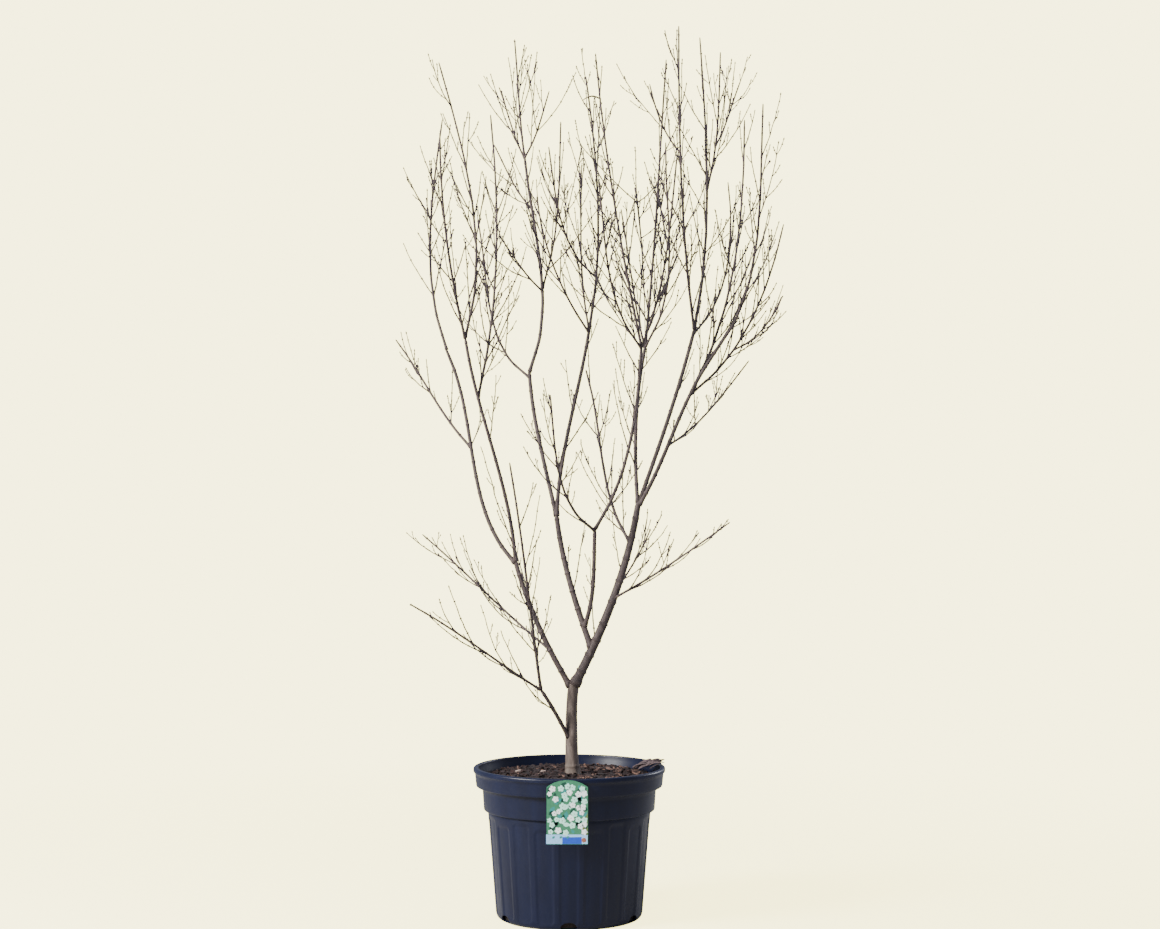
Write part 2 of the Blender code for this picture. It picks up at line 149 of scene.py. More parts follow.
SHOOT_SEAT = 0.4
MOST_SHOOT_SHARE = 1.3
TWIG_TIP_THICK = 1.7
ORDER_THINNING = 0.1
TWIG_SIDES = 6
TWIG_RING_GAP = 7 * MM
TWIG_NODE_SWELL = 0.38
TWIG_NODE_WIDTH = 1.1 * MM
TWIG_COLLAR_SWELL = 0.4
TWIG_COLLAR_LENGTH = 2.5 * MM
BOX_MARGIN = 7 * MM

# Buds
BUD_LENGTH = 5.2 * MM
BUD_WIDTH = 2.9 * MM
BUD_PROFILE = ((0.0, 0.34), (0.12, 0.72), (0.30, 1.0), (0.52, 0.86), (0.78, 0.42))
BUD_SIZES = (0.85, 1.15)
BUD_SEAT = 0.8
BUD_SUNK = 0.5 * MM
SIDE_BUD_SHARE = 0.60
SIDE_BUD_LEAN = 0.55
SIDE_BUD_RADIUS = 2.1 * MM
END_BUD_SIDES = 6
SIDE_BUD_SIDES = 4

# Bark colours: dark flecks, ground and pale flecks
BARKS = {
    "trunk_bark": ((0.052, 0.037, 0.029), (0.100, 0.074, 0.058), (0.165, 0.128, 0.104)),
    "limb_bark": ((0.022, 0.014, 0.013), (0.048, 0.032, 0.028), (0.090, 0.066, 0.057)),
    "twig_purple": ((0.014, 0.008, 0.010), (0.030, 0.018, 0.021), (0.060, 0.040, 0.043)),
    "twig_brown": ((0.015, 0.009, 0.008), (0.032, 0.020, 0.017), (0.062, 0.044, 0.038)),
    "twig_grey": ((0.022, 0.016, 0.016), (0.044, 0.034, 0.034), (0.080, 0.065, 0.064)),
    "bud_dark": ((0.010, 0.005, 0.006), (0.024, 0.014, 0.014), (0.046, 0.030, 0.028)),
    "bud_brown": ((0.016, 0.009, 0.008), (0.038, 0.024, 0.019), (0.070, 0.048, 0.038)),
}

# Colours of mulch, chips and strips: dark and light
CHIP_COLOURS = {
    "dark_mulch": ((0.004, 0.0015, 0.0014), (0.016, 0.006, 0.005)),
    "chip_dark": ((0.005, 0.0018, 0.0015), (0.018, 0.0065, 0.005)),
    "chip_red": ((0.012, 0.0038, 0.003), (0.034, 0.0115, 0.008)),
    "chip_tan": ((0.070, 0.034, 0.023), (0.200, 0.112, 0.078)),
    "chip_pale": ((0.260, 0.180, 0.140), (0.460, 0.350, 0.290)),
    "strip_mauve": ((0.044, 0.028, 0.028), (0.125, 0.086, 0.084)),
    "strip_dark": ((0.012, 0.006, 0.007), (0.046, 0.028, 0.027)),
}

# Pot, in metres, and its plastic: dark and light
POT_COLOURS = ((0.0019, 0.0034, 0.0150), (0.0036, 0.0062, 0.0250))
POT_FOOT = 0.1455
POT_TAPER = 0.0775
POT_SIDES = 480
BASE_RADII = (0.02, 0.06, 0.10, 0.126)
FOOT_ROUND = 0.012
WALL_ROWS = 64
WALL_THICK = 0.005
COLLAR_DEPTH = 0.038
COLLAR_SETBACK = 0.0055
BEAD_DEPTH = 0.0115
LIP_ROUND = 0.0038
LIP_LOW = 0.0075
SMALL_ROUND = 0.0022
SHOULDER_DEPTH = 0.085
SHOULDER_LEDGE = 0.008
SHOULDER_SETBACK = 0.018
EDGE_ROUND = 0.003
PANELS = 20
PANEL_RADIUS = 0.155
PANEL_RIB = 0.0042
PANEL_CORNER = 0.009
PANEL_STEP = 0.010
PANEL_FOOT = 0.010
PANEL_TOP_DEPTH = 0.094
PANEL_DEPTH = 0.0016
PANEL_EDGE = 0.0050
PANELLED_RADIUS = 0.14
NOTCHES = 6
NOTCH_HALF = 0.016
NOTCH_STRAIGHT = 0.006
NOTCH_ARCH = 0.011
NOTCH_REACH = (-0.170, -0.1365)
NOTCH_BELOW = 0.01
NOTCH_STEPS = 14

# Mulch, in metres
SOIL_EDGE = 0.1752
SOIL_SIDES = 360
SOIL_RINGS = 70
SOIL_CROWN = 0.005
CROWN_POWER = 1.5
LUMPS = 60
LUMP_HEIGHT = 0.0011
CHIPS = 1500
CHIP_SPREAD = 0.170
CHIP_EDGE = 0.175
CHIP_WALL = 0.176
TRUNK_PLACE = 0.007
TRUNK_CLEAR = 0.014
TAN_SIDE = 0.015
PALE_CHIPS = ((-0.104, 0.03), (-0.055, 0.02))
HEAP_STRIPS = 34

# Tag, in metres
TAG_RISE = 0.0135
TAG_CORNER = 0.0025
TAG_MARGIN = 0.0008
TAG_TOP_MARGIN = 0.002
CARD_INSET = 0.24 * MM
PRINT_BACK = 0.3 * MM
PRINT_INSET = 0.22 * MM
PRINT_LAYER = 0.035 * MM
PRINT_LEAVES = 46
BLOSSOM_ROWS = 8
BLOSSOM_COLUMNS = 6
BLOSSOM_GAPS = 0.16
INKS = {
    "green": (0.045, 0.200, 0.100),
    "mint": (0.50, 0.92, 0.74),
    "white": (0.88, 0.97, 0.92),
    "dark_green": (0.008, 0.060, 0.034),
    "teal": (0.030, 0.230, 0.200),
    "olive": (0.130, 0.160, 0.025),
    "blue": (0.012, 0.070, 0.480),
    "pale_blue": (0.30, 0.58, 0.85),
    "brown": (0.300, 0.110, 0.060),
}

# Dry leaf
LEAF_COLOURS = ((0.045, 0.026, 0.022), (0.130, 0.082, 0.060))
LEAF_HEIGHT = 1.646
LEAF_SHIFT = (0.006, -0.002, 0.001)


def as_rows(points):
    return np.asarray(points, float).reshape(-1, 3)


def unit(vectors):
    lengths = np.linalg.norm(vectors, axis=-1, keepdims=True)
    return vectors / np.maximum(lengths, 1e-12)


def mesh_piece(name, points, triangles, materials, material_of=None, smooth_angle=None):
    """A mesh object from arrays, shaded smooth, riding on the one body."""
    mesh = bpy.data.meshes.new(name)
    mesh.vertices.add(len(points))
    mesh.vertices.foreach_set("co", np.asarray(points, np.float32).ravel())
    mesh.loops.add(3 * len(triangles))
    mesh.loops.foreach_set("vertex_index", np.asarray(triangles, np.int32).ravel())
    mesh.polygons.add(len(triangles))
    mesh.polygons.foreach_set("loop_start", np.arange(0, 3 * len(triangles), 3, dtype=np.int32))
    for material in materials:
        mesh.materials.append(material)
    if material_of is not None:
        mesh.polygons.foreach_set("material_index", np.asarray(material_of, np.int32))
    mesh.update(calc_edges=True)
    mesh.shade_smooth()
    if smooth_angle:
        mesh.set_sharp_from_angle(angle=math.radians(smooth_angle))
    obj = bpy.data.objects.new(name, mesh)
    bpy.context.scene.collection.objects.link(obj)
    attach(obj, "root")
    return obj


class Bundle:
    """Many closed shapes of one kind, joined into pieces of a limited size."""

    def __init__(self, name, slot, materials, smooth_angle=None):
        self.name = name
        self.slot = slot
        self.materials = materials
        self.smooth_angle = smooth_angle
        self.made = 0
        self.clear()

    def clear(self):
        self.points, self.triangles, self.material_of, self.nodes = [], [], [], []
        self.point_count = self.triangle_count = 0

    def add(self, points, triangles, material=0, node=None):
        if self.triangle_count + len(triangles) > MOST_TRIANGLES:
            self.flush()
        self.points.append(points)
        self.triangles.append(triangles + self.point_count)
        self.material_of.append(np.full(len(triangles), material))
        self.point_count += len(points)
        self.triangle_count += len(triangles)
        if node:
            self.nodes.append(node)

    def flush(self):
        if not self.points:
            return
        self.made += 1
        points, triangles = np.concatenate(self.points), np.concatenate(self.triangles)
        material_of = np.concatenate(self.material_of)
        name = f"{self.name}_{self.made}"
        obj = mesh_piece(name, points, triangles, self.materials, material_of, self.smooth_angle)
        if self.nodes:
            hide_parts(*self.nodes)
        self.clear()


def point_grid(rows, columns):
    return np.arange(rows * columns).reshape(rows, columns)


def grid_triangles(rows, columns):
    """Triangles of a closed tube made of rows of points. The middles of its ends follow the last row."""
    grid = point_grid(rows, columns)
    after = np.roll(grid, -1, axis=1)
    a, b, c, d = grid[:-1], after[:-1], grid[1:], after[1:]
    body = np.stack([np.stack([a, b, d], -1), np.stack([a, d, c], -1)], 2).reshape(-1, 3)
    first, last = np.full(columns, rows * columns), np.full(columns, rows * columns + 1)
    low = np.stack([first, after[0], grid[0]], -1)
    high = np.stack([last, grid[-1], after[-1]], -1)
    return np.concatenate([body, low, high])


def sides_along(line):
    """Two unit vectors at each point of a line, square to it and to each other, that don't twist."""
    along = unit(np.gradient(line, axis=0))
    side = np.cross(along[0], along[-1])
    if np.linalg.norm(side) < 0.03:
        side = np.cross(along[0], UP)
    if np.linalg.norm(side) < 0.03:
        side = np.array((0.0, 1.0, 0.0))
    across = unit(side - along * (along @ side)[:, None])
    return across, np.cross(along, across)


def tube(line, radii, sides):
    """A closed tube's points and triangles. radii has a number for each point, or for each side of it."""
    across, beside = sides_along(line)
    angles = math.tau * np.arange(sides) / sides
    radii = np.broadcast_to(np.asarray(radii).reshape(len(line), -1), (len(line), sides))
    cosines, sines = np.cos(angles)[None, :, None], np.sin(angles)[None, :, None]
    around = across[:, None] * cosines + beside[:, None] * sines
    rings = line[:, None] + around * radii[..., None]
    points = np.concatenate([rings.reshape(-1, 3), line[:1], line[-1:]])
    return points, grid_triangles(len(line), sides)


def lengths_along(line):
    return np.concatenate([[0], np.cumsum(np.linalg.norm(np.diff(line, axis=0), axis=1))])


def points_along(places, at, line):
    """The points of a line at places along it."""
    return np.stack([np.interp(places, at, line[:, axis]) for axis in range(3)], -1)


def bell(at, place, width):
    """A smooth hump of height one round a place."""
    return np.exp(-(((at - place) / width) ** 2))


class Stem:
    """A limb or shoot: its middle line at an even spacing, and its radius at each point."""

    def __init__(self, line, radii, gap=LINE_GAP):
        at = lengths_along(line)
        count = max(int(round(at[-1] / gap)) + 1, 4)
        self.at = np.linspace(0, at[-1], count)
        self.line = points_along(self.at, at, line)
        self.radii = np.interp(self.at, at, radii)
        self.length = at[-1]

    def point(self, place):
        return points_along(place, self.at, self.line)

    def radius(self, place):
        return np.interp(place, self.at, self.radii)

    def direction(self, place):
        reach = 2 * MM
        return unit(self.point(min(place + reach, self.length)) - self.point(max(place - reach, 0)))

    def smoothed(self, times):
        """Rounds off the corners that the faceted solid has, and keeps both ends."""
        line, radii = self.line.copy(), self.radii.copy()
        for _ in range(times):
            line[1:-1] = (line[:-2] + 2 * line[1:-1] + line[2:]) / 4
            radii[1:-1] = (radii[:-2] + 2 * radii[1:-1] + radii[2:]) / 4
        return Stem(line, radii)


def centred(tree, middle, along, radius):
    """The middle and mean radius of the tube round a point inside it."""
    across = along.orthogonal().normalized()
    beside = along.cross(across)
    for _ in range(2):
        shift, total = Vector(), 0.0
        for probe in range(PROBES):
            angle = math.tau * probe / PROBES
            direction = across * math.cos(angle) + beside * math.sin(angle)
            distance = tree.ray_cast(middle, direction)[3] or radius
            distance = min(distance, 1.6 * radius) if radius else distance
            shift += direction * distance
            total += distance
        middle = middle + shift * (2 / PROBES)
    return middle, total / PROBES


def walk(tree, middle, along, radius):
    """Steps along the inside of a tube to its end, as a list of (point, radius)."""
    found = []
    for _ in range(MOST_STEPS):
        middle, radius = centred(tree, middle, along, radius)
        if found:
            along = (along + (middle - found[-1][0]).normalized() * 2).normalized()
        found.append((middle, radius))
        step = WALK_SHARE * radius
        ahead = tree.ray_cast(middle, along)
        if ahead[0] is None or ahead[3] < 1.3 * step:
            if ahead[0] is not None:
                found.append((ahead[0], radius))
            break
        middle = middle + along * step
    return found


def stem_of_node(name, bark_share, bark_depth):
    """The stem inside a limb's solid, from its thick end to its thin end, with its bark on."""
    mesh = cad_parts[name].data
    corners = [vertex.co.copy() for vertex in mesh.vertices]
    tree = BVHTree.FromPolygons(corners, [tuple(face.vertices) for face in mesh.polygons])

    def longest_edge(face):
        points = [corners[index] for index in face.vertices]
        return max((points[i] - points[i - 1] for i in range(len(points))), key=lambda edge: edge.length)

    start = max(mesh.polygons, key=lambda face: longest_edge(face).length)
    along = longest_edge(start).normalized()
    inside = start.center - start.normal * 1e-5
    across = tree.ray_cast(inside, -start.normal)[3]
    middle = inside - start.normal * (across / 2)
    back = walk(tree, middle, -along, across / 2)
    ahead = walk(tree, middle, along, across / 2)
    found = back[::-1] + ahead[1:]
    line = as_rows([point for point, _ in found])
    radii = np.array([radius for _, radius in found]) * FACET_ALLOWANCE
    third = len(radii) // 3
    if radii[:third].mean() < radii[-third:].mean():
        line, radii = line[::-1], radii[::-1]
    steady = np.polynomial.Polynomial.fit(lengths_along(line), radii, 1)
    return Stem(line, steady(lengths_along(line)) * bark_share + bark_depth).smoothed(SMOOTHINGS)


def relief(rng, at, sides, scale, terms=14):
    """A gentle unevenness over a tube's surface, longer along it than around it."""
    angles = math.tau * np.arange(sides) / sides
    total = np.zeros((len(at), sides))
    for _ in range(terms):
        around = rng.integers(1, 10)
        wave = math.tau / rng.uniform(6 * scale, 34 * scale)
        total += np.cos(around * angles[None] + wave * at[:, None] + rng.uniform(0, math.tau))
    return total / math.sqrt(terms)


def rounded_end(at, radii, length):
    """Closes the thin end of a tube like a dome."""
    from_tip = np.clip((length - at) / np.maximum(radii[-1], 1e-6), 0, 1)
    return radii * np.sqrt(np.maximum(1 - (1 - from_tip) ** 2, 0.0016))


def node_places(rng, stem, order, start):
    """Where along a stem its opposite buds sit."""
    low, high = ORDERS[order]["gap"]
    places, place = [], start
    while place < stem.length - END_ROOM:
        places.append(place)
        place += rng.uniform(low, high) * MM
    return places


def limb_shape(rng, stem, places):
    """A limb's bark: swollen at its nodes and at its foot, which runs on into its parent."""
    count = int(stem.length / LIMB_RING_GAP)
    tip = stem.length - stem.radii[-1] * np.array(TIP_RINGS)
    swells = [place + NODE_WIDTH * np.array([-0.9, 0, 0.9]) for place in places]
    at = np.unique(np.concatenate([np.linspace(0, stem.length, count), tip, *swells]))
    at = at[(at >= 0) & (at <= stem.length)]
    line, radii = stem.point(at), stem.radius(at)
    for place in places:
        radii *= 1 + NODE_SWELL * bell(at, place, NODE_WIDTH)
    radii *= 1 + COLLAR_SWELL * np.exp(-at / COLLAR_LENGTH)
    radii *= 1 - TIP_NARROWING * np.exp(-(stem.length - at) / TIP_LENGTH)
    radii = rounded_end(at, radii, stem.length)
    sunk = LIMB_SUNK * stem.radii[0]
    foot = line[0] + unit(stem.line[0] - stem.line[1]) * sunk
    line, at, radii = np.insert(line, 0, foot, 0), np.insert(at, 0, -sunk), np.insert(radii, 0, radii[0])
    sides = LIMB_SIDES if stem.radii[0] > THICK_RADIUS else THIN_LIMB_SIDES
    uneven = relief(rng, at, sides, 1 * MM)
    return tube(line, radii[:, None] * (1 + LIMB_UNEVEN * uneven), sides)


def trunk_shape(rng, stem):
    """The trunk's bark: a flare and a knot at the foot, shallow furrows, and raised lenticels."""
    at = np.linspace(0, stem.length, int(stem.length / TRUNK_RING_GAP))
    line, radii = stem.point(at), rounded_end(at, stem.radius(at), stem.length)
    angles = math.tau * np.arange(TRUNK_SIDES) / TRUNK_SIDES
    surface = radii[:, None] * (1 + TRUNK_UNEVEN * relief(rng, at, TRUNK_SIDES, 3 * MM))
    surface += FURROW_DEPTH * relief(rng, at, TRUNK_SIDES, 0.5 * MM)
    surface += FOOT_SPREAD * np.exp(-at / FOOT_SPREAD_HEIGHT)[:, None]
    surface += KNOT_HEIGHT * bell(at, KNOT_AT, KNOT_WIDTH)[:, None]
    roots = 1 + 0.35 * np.cos(ROOTS * angles + 0.8)
    surface += ROOT_FLARE * np.exp(-at / ROOT_FLARE_HEIGHT)[:, None] * roots
    for _ in range(LENTICELS):
        place, turn = rng.uniform(0, stem.length), rng.uniform(0, math.tau)
        apart = (angles - turn + math.pi) % math.tau - math.pi
        spot = bell(at, place, LENTICEL_LENGTH)[:, None] * bell(apart, 0, LENTICEL_SPREAD)
        surface += LENTICEL_HEIGHT * spot
    return tube(line, surface, TRUNK_SIDES)


def shoot(rng, foot, direction, length, thick, upturn, order):
    """A slender shoot that leaves in a direction and curves up, a little bent at its nodes."""
    share = np.linspace(0, 1, SHOOT_STEPS)
    lift = upturn * share[:, None] ** UPTURN_POWER
    headings = unit(direction[None] * (1 - lift) + UP[None] * lift)
    headings = unit(headings + rng.normal(0, SHOOT_WOBBLE, headings.shape))
    moves = np.cumsum(headings[:-1] * length / (SHOOT_STEPS - 1), axis=0)
    line = foot + np.concatenate([[np.zeros(3)], moves])
    tip = TWIG_TIP_THICK - ORDER_THINNING * order
    radii = (thick + (tip - thick) * share) / 2 * MM
    return Stem(line, radii, gap=SHOOT_GAP)


def inside_box(line):
    low, high = np.array(CAD_LOW) + BOX_MARGIN, np.array(CAD_HIGH) - BOX_MARGIN
    return bool((line >= low).all() and (line <= high).all())


def twig_shape(stem, places, sides):
    """A shoot's bark, with a swollen ring at each node."""
    swells = [place + np.array([-1, 0, 1]) * TWIG_NODE_WIDTH for place in places]
    even = np.linspace(0, stem.length, max(int(stem.length / TWIG_RING_GAP), 3))
    at = np.unique(np.clip(np.concatenate([even, *swells]), 0, stem.length))
    line, radii = stem.point(at), stem.radius(at)
    for place in places:
        radii *= 1 + TWIG_NODE_SWELL * bell(at, place, TWIG_NODE_WIDTH)
    radii *= 1 + TWIG_COLLAR_SWELL * np.exp(-at / TWIG_COLLAR_LENGTH)
    return tube(line, radii, sides)


def bud_shape(foot, direction, length, width, sides):
    """A pointed onion-shaped bud."""
    direction = unit(direction)
    places = np.array([share for share, _ in BUD_PROFILE])
    line = foot + direction[None] * (places * length)[:, None]
    radii = np.array([full for _, full in BUD_PROFILE]) * width / 2
    points, triangles = tube(line, radii, sides)
    points[-1] = foot + direction * length
    return points, triangles


class Tree:
    """Grows shoots and buds from the limbs, order by order."""

    def __init__(self, twigs, buds):
        self.rng = np.random.default_rng(SEED)
        self.twigs = twigs
        self.buds = buds
        self.spray = 0

    def bud(self, foot, direction, share=1.0):
        size = self.rng.uniform(*BUD_SIZES) * share
        sides = SIDE_BUD_SIDES if share < 1 else END_BUD_SIDES
        points, triangles = bud_shape(foot, direction, BUD_LENGTH * size, BUD_WIDTH * size, sides)
        self.buds.add(points, triangles, int(self.rng.integers(len(self.buds.materials))))

    def side_buds(self, stem, place, out):
        along, radius = stem.direction(place), stem.radius(place)
        for side in (1, -1):
            heading = unit(along + out * side * SIDE_BUD_LEAN)
            self.bud(stem.point(place) + out * side * radius * BUD_SEAT, heading, SIDE_BUD_SHARE)

    def grow(self, stem, places, order):
        """Opposite pairs at each node, each pair square to the last: a shoot, or a bud that still rests."""
        rng, rule = self.rng, ORDERS[order]
        turn = rng.uniform(0, math.tau)
        for place in places:
            turn += math.pi / 2 + rng.normal(0, PAIR_WOBBLE)
            along, radius = stem.direction(place), stem.radius(place)
            across = unit(np.cross(along, SIDEWAYS))
            out = unit(across * math.cos(turn) + np.cross(along, across) * math.sin(turn))
            chance = SPARSE_CHANCE if radius > BARE_RADIUS else rule["chance"]
            chance *= min(1, (1 - place / stem.length) / BARE_TIP_SHARE)
            grown = [side for side in (1, -1) if rng.random() < chance]
            for side in grown:
                if order == 0:
                    self.spray = int(rng.integers(len(self.twigs.materials)))
                self.side_shoot(stem, place, out * side, order)
            if not grown and radius < SIDE_BUD_RADIUS:
                self.side_buds(stem, place, out)

    def side_shoot(self, stem, place, out, order):
        rng, rule = self.rng, ORDERS[order]
        along, radius = stem.direction(place), stem.radius(place)
        lean = math.radians(rng.uniform(*rule["lean"]))
        heading = along * math.cos(lean) + out * math.sin(lean)
        heading = unit(heading + UP * max(0, LEAST_RISE - heading[2]))
        room = FOOT_LENGTH - TIP_SHORTENING * place / stem.length
        length = rng.uniform(*rule["length"]) * MM * room
        thick = min(rng.uniform(*rule["thick"]), MOST_SHOOT_SHARE * radius / MM)
        upturn = rng.uniform(*UPTURN)
        foot = stem.point(place) + out * SHOOT_SEAT * radius
        made = shoot(rng, foot, heading, length, thick, upturn, order)
        while not inside_box(made.line) and length > LEAST_LENGTH:
            length *= SHORTENING
            made = shoot(rng, foot, heading, length, thick, upturn, order)
        if inside_box(made.line):
            self.finish_shoot(made, order)

    def finish_shoot(self, made, order):
        places = []
        if order + 1 < len(ORDERS):
            start = self.rng.uniform(*ORDERS[order + 1]["gap"]) * MM
            places = node_places(self.rng, made, order + 1, start)
        self.twigs.add(*twig_shape(made, places, TWIG_SIDES - order), material=self.spray)
        if places:
            self.grow(made, places, order + 1)
        self.end_bud(made)

    def end_bud(self, stem, sunk=BUD_SUNK):
        along = stem.direction(stem.length)
        self.bud(stem.line[-1] - along * sunk, along)


def feed(owner, node, name, value):
    """Gives an input of a shader node a value, or links it to another node's output."""
    if isinstance(value, bpy.types.NodeSocket):
        owner.node_tree.links.new(value, node.inputs[name])
    else:
        node.inputs[name].default_value = value


def add_node(owner, kind, output, **inputs):
    """Adds a shader node, feeds its inputs and gives back an output. Input names have _ for a space."""
    made = owner.node_tree.nodes.new("ShaderNode" + kind)
    for name, value in inputs.items():
        feed(owner, made, name.replace("_", " "), value)
    return made.outputs[output]


def new_material(name, roughness):
    material = bpy.data.materials.new(name)
    material.use_nodes = True
    shader = material.node_tree.nodes["Principled BSDF"]
    feed(material, shader, "Roughness", roughness)
    return material, shader


def object_point(material, scale=(1, 1, 1)):
    place = add_node(material, "TexCoord", "Object")
    return add_node(material, "Mapping", "Vector", Vector=place, Scale=scale)


def noise(material, vector, scale, detail=4.0, distortion=0.0):
    return add_node(
        material, "TexNoise", "Fac", Vector=vector, Scale=scale, Detail=detail, Distortion=distortion
    )


def colour_by(material, shader, value, stops):
    """Colours a material by a value, through a ramp with (place, colour) stops."""
    shown = add_node(material, "ValToRGB", "Color", Fac=value)
    elements = shown.node.color_ramp.elements
    for index, (place, colour) in enumerate(stops):
        element = elements[index] if index < 2 else elements.new(place)
        element.position = place
        element.color = (*colour, 1)
    feed(material, shader, "Base Color", shown)


def bump(material, shader, height, strength, distance):
    normal = add_node(material, "Bump", "Normal", Height=height, Strength=strength, Distance=distance)
    feed(material, shader, "Normal", normal)


def bark_material(name, roughness=0.72, grain=260):
    """Young bark: mottled along the stem, with a fine grain."""
    material, shader = new_material(name, roughness)
    stretched = object_point(material, (1, 1, 0.28))
    mottle = noise(material, stretched, grain, detail=6, distortion=0.6)
    colour_by(material, shader, mottle, zip((0.30, 0.52, 0.72), BARKS[name]))
    bump(material, shader, noise(material, stretched, grain * 5, detail=3), 0.3, 0.25 * MM)
    return material


def pot_material():
    """Moulded navy plastic with faint dust in long streaks."""
    material, shader = new_material("navy_moulded", 0.40)
    feed(material, shader, "Specular IOR Level", 0.28)
    streaks = noise(material, object_point(material, (1, 1, 0.16)), 34, detail=5, distortion=0.4)
    colour_by(material, shader, streaks, zip((0.30, 0.75), POT_COLOURS))
    gloss = noise(material, object_point(material), 60, detail=6)
    rough = add_node(material, "MapRange", "Result", Value=gloss, To_Min=0.28, To_Max=0.44)
    feed(material, shader, "Roughness", rough)
    bump(material, shader, noise(material, object_point(material), 900, detail=2), 0.12, 0.15 * MM)
    return material


def chip_material(name):
    """Torn bark with its fibres."""
    material, shader = new_material(name, 0.9)
    fibre = noise(material, object_point(material, (1, 0.35, 1)), 420, detail=6, distortion=1.0)
    colour_by(material, shader, fibre, zip((0.35, 0.68), CHIP_COLOURS[name]))
    bump(material, shader, fibre, 0.7, 0.6 * MM)
    return material


def plain_print(name, colour):
    """Printing ink under a clear film, very slightly uneven."""
    material, shader = new_material(name, 0.32)
    darker = tuple(0.86 * part for part in colour)
    tint = noise(material, object_point(material), 300, detail=2)
    colour_by(material, shader, tint, ((0.35, darker), (0.65, colour)))
    return material


def leaf_material():
    """A dead leaf, brown and mottled."""
    material, shader = new_material("dry_leaf", 0.75)
    mottle = noise(material, object_point(material), 500, detail=5)
    colour_by(material, shader, mottle, zip((0.35, 0.7), LEAF_COLOURS))
    return material


def turned(x, y, angle):
    """The point (x, y) turned about the origin."""
    cosine, sine = math.cos(angle), math.sin(angle)
    return x * cosine - y * sine, x * sine + y * cosine


def smooth_step(values, low, high):
    share = np.clip((values - low) / (high - low), 0, 1)
    return share * share * (3 - 2 * share)


def arc(centre, radius, start, end, steps):
    """Points (radius, height) round part of a circle. Angles are in degrees from straight out."""
    angles = np.radians(np.linspace(start, end, steps))
    return [(centre[0] + radius * math.cos(angle), centre[1] + radius * math.sin(angle)) for angle in angles]


def flat_shape(outline, middle, front, back):
    """A thin prism of an outline in the XZ plane, as points and triangles."""
    count = len(outline)
    ring = np.array([(middle[0] + x, 0, middle[1] + z) for x, z in outline])
    points = np.concatenate([ring + (0, front, 0), ring + (0, back, 0)])
    corners = np.arange(count)
    after = (corners + 1) % count
    sides = np.concatenate([
        np.stack([corners, corners + count, after + count], -1),
        np.stack([corners, after + count, after], -1),
    ])
    fan = np.stack([np.zeros(count - 2, int), corners[1:-1], corners[2:]], -1)
    return points, np.concatenate([fan, fan[:, ::-1] + count, sides])


def pot_wall(height):
    """The outer radius of the pot's wall at a height."""
    return POT_FOOT + POT_TAPER * height


def stretch(start, end, first):
    """Points (radius, height) along a straight stretch, from a first share of its length on."""
    (start_r, start_z), (end_r, end_z) = start, end
    shares = np.linspace(first, 1, 6)
    return [(start_r + (end_r - start_r) * share, start_z + (end_z - start_z) * share) for share in shares]


def pot_profile(high, rim):
    """The pot's section: its underside from the middle, its outside, its lip, then its inside."""
    collar_foot, shoulder_foot = high - COLLAR_DEPTH, high - SHOULDER_DEPTH
    shoulder_low, shoulder_high = pot_wall(shoulder_foot) + SHOULDER_LEDGE, rim - SHOULDER_SETBACK
    profile = [(radius, 0.0) for radius in BASE_RADII]
    profile += arc((pot_wall(0) - FOOT_ROUND, FOOT_ROUND), FOOT_ROUND, -88, -4, 8)
    heights = np.linspace(FOOT_ROUND + 0.002, shoulder_foot - 0.006, WALL_ROWS)
    profile += [(pot_wall(height), height) for height in heights]
    profile += arc((pot_wall(shoulder_foot) + 0.0004, shoulder_foot - 0.0015), 0.0016, 180, 90, 4)[1:]
    profile += arc((shoulder_low - EDGE_ROUND, shoulder_foot + EDGE_ROUND), EDGE_ROUND, -90, 0, 6)
    profile += stretch((shoulder_low, shoulder_foot + EDGE_ROUND), (shoulder_high, collar_foot - 0.002), 0.1)
    profile += [(shoulder_high + 0.001, collar_foot - 0.0004)]
    collar_low = (rim - COLLAR_SETBACK, collar_foot + EDGE_ROUND)
    profile += arc((collar_low[0] - EDGE_ROUND, collar_low[1]), EDGE_ROUND, -90, 0, 6)
    profile += stretch(collar_low, (rim - 0.003, high - BEAD_DEPTH), 0.15)
    profile += arc((rim - SMALL_ROUND, high - LIP_LOW), SMALL_ROUND, -60, 0, 4)
    profile += arc((rim - LIP_ROUND, high - LIP_ROUND), LIP_ROUND, 0, 90, 8)
    profile += arc((rim - 0.0078, high - SMALL_ROUND), SMALL_ROUND, 90, 180, 5)
    profile += [(rim - 0.0104, high - 0.010), (shoulder_high - 0.003, collar_foot)]
    profile += [(shoulder_low - 0.003, shoulder_foot + 0.002)]
    for height, place in ((shoulder_foot, shoulder_foot - 0.002), (0.1, 0.1), (0.010, 0.010)):
        profile += [(pot_wall(height) - WALL_THICK, place)]
    profile += [(pot_wall(0) - 0.009, 0.004), (0.05, 0.004)]
    return np.array(profile)


